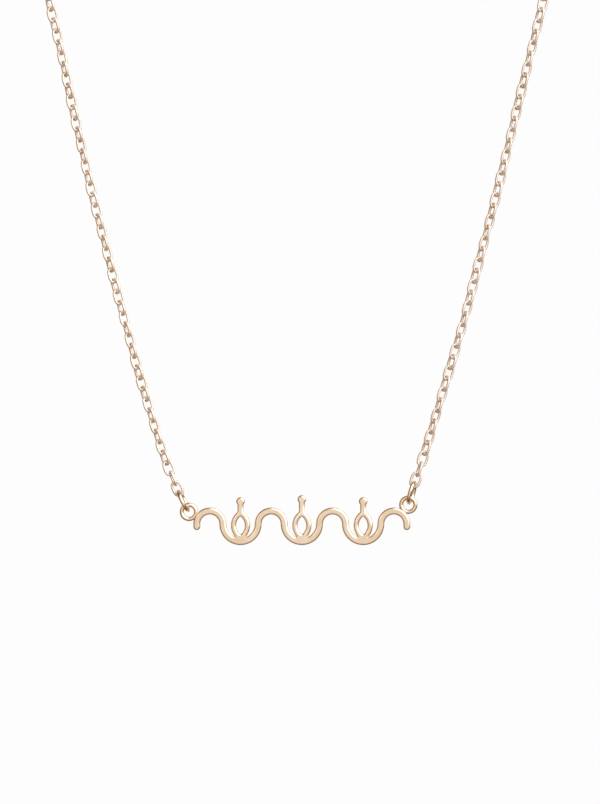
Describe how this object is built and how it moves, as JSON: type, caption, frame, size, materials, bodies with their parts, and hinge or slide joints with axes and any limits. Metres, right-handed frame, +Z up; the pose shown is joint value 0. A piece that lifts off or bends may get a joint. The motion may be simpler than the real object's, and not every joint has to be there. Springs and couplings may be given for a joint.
{
  "type": "nameplate necklace",
  "caption": "Pierced gold plate with a wave-and-bud border, hung by two jump rings on a fine cable chain that closes at the nape with a ring clasp.",
  "frame": {"origin": "the nape, in the middle of the closure, where the closed chain hangs", "axes": "+Z up, -Y to the front with the plate's face, +X to the viewer's right"},
  "size_m": [0.092, 0.0917, 0.1354],
  "materials": {
    "plate_gold": "pale gold, fine satin face with a polished rounded rim",
    "wire_gold": "polished pale gold round wire",
    "chain_gold": "polished pale gold links"
  },
  "bodies": {
    "strand": {"chain_left": "chain_gold", "chain_right": "chain_gold", "jump_ring_left": "wire_gold", "jump_ring_right": "wire_gold", "clasp": "wire_gold", "end_ring": "wire_gold"},
    "plate": {"nameplate": "plate_gold"}
  },
  "joints": [
    {"name": "plate_swing", "type": "hinge", "parent": "strand", "child": "plate", "pos_m": [-0.00057, -0.088, -0.12616], "axis": [0.9994, 0, 0.0343], "range_deg": [-45, 45]}
  ]
}
